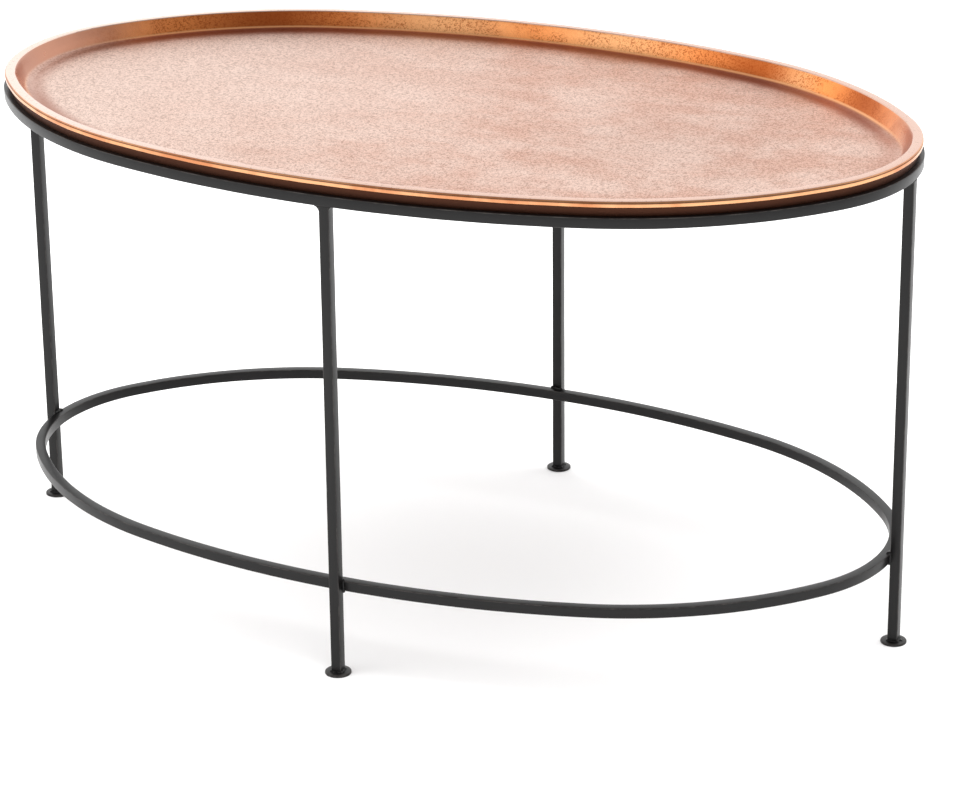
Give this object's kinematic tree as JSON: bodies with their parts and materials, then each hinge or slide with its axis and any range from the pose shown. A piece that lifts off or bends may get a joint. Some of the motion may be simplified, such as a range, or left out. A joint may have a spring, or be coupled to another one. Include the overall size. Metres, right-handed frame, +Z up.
{
  "type": "tray table",
  "caption": "Low oval table: a shallow cast copper-finish tray with a raised rim rests in a welded black square-bar stand with round foot discs, and lifts off.",
  "frame": {"origin": "on the floor, under the middle of the table", "axes": "+X along the long axis, towards the right-hand leg; +Y across, towards the back leg; +Z up"},
  "size_m": [0.942, 0.557, 0.488],
  "materials": {
    "copper": "copper-coloured satin over rough-cast aluminium, brighter on the rubbed rim",
    "black_steel": "satin black",
    "foot_steel": "satin black, a little scuffed",
    "weld": "satin black over a rough weld bead"
  },
  "bodies": {
    "stand": {"upper_ring": "black_steel", "lower_ring": "black_steel", "leg_right": "black_steel", "leg_back": "black_steel", "leg_left": "black_steel", "leg_front": "black_steel", "foot_right": "foot_steel", "foot_back": "foot_steel", "foot_left": "foot_steel", "foot_front": "foot_steel", "upper_weld_right": "weld", "upper_weld_back": "weld", "upper_weld_left": "weld", "upper_weld_front": "weld", "lower_weld_right": "weld", "lower_weld_back": "weld", "lower_weld_left": "weld", "lower_weld_front": "weld", "foot_weld_right": "weld", "foot_weld_back": "weld", "foot_weld_left": "weld", "foot_weld_front": "weld"},
    "tray": {"tray": "copper"}
  },
  "joints": [
    {"name": "tray_lift", "type": "slide", "parent": "stand", "child": "tray", "axis": [0, 0, 1], "range_m": [0, 0.15]}
  ]
}
